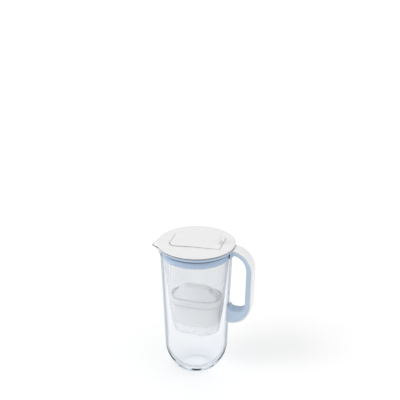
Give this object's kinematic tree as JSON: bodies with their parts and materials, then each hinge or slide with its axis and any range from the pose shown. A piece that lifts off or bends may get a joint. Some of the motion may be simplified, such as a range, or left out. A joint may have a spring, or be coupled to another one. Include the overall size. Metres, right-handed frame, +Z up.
{
  "type": "water filter pitcher",
  "caption": "Clear glass water pitcher with a two-tone D handle, sealing collar, frosted inner funnel, drop-in filter cartridge and round lid with a thumb-lever flip flap.",
  "frame": {"origin": "centre of the jug's flat base, on its vertical axis", "axes": "+Z up along the jug's axis, +X towards the handle, -X towards the spout"},
  "size_m": [0.1895, 0.1392, 0.2761],
  "materials": {
    "clear_glass": "clear polished glass",
    "white_plastic": "satin white moulded plastic",
    "blue_grip": "soft light blue moulded grip",
    "blue_seal": "light blue elastomer",
    "frosted_plastic": "translucent frosted plastic",
    "cartridge_plastic": "white recyclable plastic",
    "mesh": "fine grey filter mesh",
    "filter_media": "granules of carbon and ion exchange resin",
    "clear_seal": "pale silicone",
    "dark_window": "glossy dark window",
    "green_lens": "green light lens",
    "steel": "stainless steel",
    "circuit_board": "green solder mask"
  },
  "bodies": {
    "jug": {"glass_jug": "clear_glass", "handle_shell": "white_plastic", "handle_grip": "blue_grip", "handle_bond_pads": "blue_grip"},
    "collar": {"collar_ring": "blue_seal"},
    "funnel": {"funnel": "frosted_plastic"},
    "cartridge": {"cartridge_housing": "cartridge_plastic", "cartridge_cap": "cartridge_plastic", "cartridge_inlet_mesh": "mesh", "cartridge_filter_bed": "filter_media", "cartridge_outlet_screen": "mesh", "cartridge_seal": "clear_seal"},
    "pull_ring": {"cartridge_pull_ring": "cartridge_plastic"},
    "lid": {"lid_body": "white_plastic", "indicator_holder": "white_plastic", "flap_hinge_pin": "steel"},
    "flap": {"lid_flap": "white_plastic", "flap_lever": "white_plastic"},
    "indicator": {"indicator_housing": "white_plastic", "indicator_bezel": "dark_window", "indicator_lens": "green_lens", "indicator_circuit_board": "circuit_board", "indicator_battery": "steel", "indicator_seal": "clear_seal", "indicator_base_cover": "white_plastic"}
  },
  "joints": [
    {"name": "collar_lift", "type": "slide", "parent": "jug", "child": "collar", "axis": [0, 0, 1], "range_m": [0, 0.0585]},
    {"name": "funnel_lift", "type": "slide", "parent": "collar", "child": "funnel", "axis": [0, 0, 1], "range_m": [0, 0.1766]},
    {"name": "lid_lift", "type": "slide", "parent": "funnel", "child": "lid", "axis": [0, 0, 1], "range_m": [0, 0.153]},
    {"name": "cartridge_lift", "type": "slide", "parent": "funnel", "child": "cartridge", "axis": [0, 0, 1], "range_m": [0, 0.1675]},
    {"name": "pull_ring_hinge", "type": "hinge", "parent": "cartridge", "child": "pull_ring", "pos_m": [0.0358, 0, 0.1501], "axis": [0, 1, 0], "range_deg": [-85, 0]},
    {"name": "flap_hinge", "type": "hinge", "parent": "lid", "child": "flap", "pos_m": [0.046, 0, 0.25356], "axis": [0, -1, 0], "range_deg": [-65, 0]},
    {"name": "indicator_drop", "type": "slide", "parent": "lid", "child": "indicator", "axis": [0, 0, -1], "range_m": [0, 0.042]}
  ],
  "couplings": [
    {"joint": "cartridge_lift", "follows": "lid_lift", "ratio": 1.0947}
  ]
}
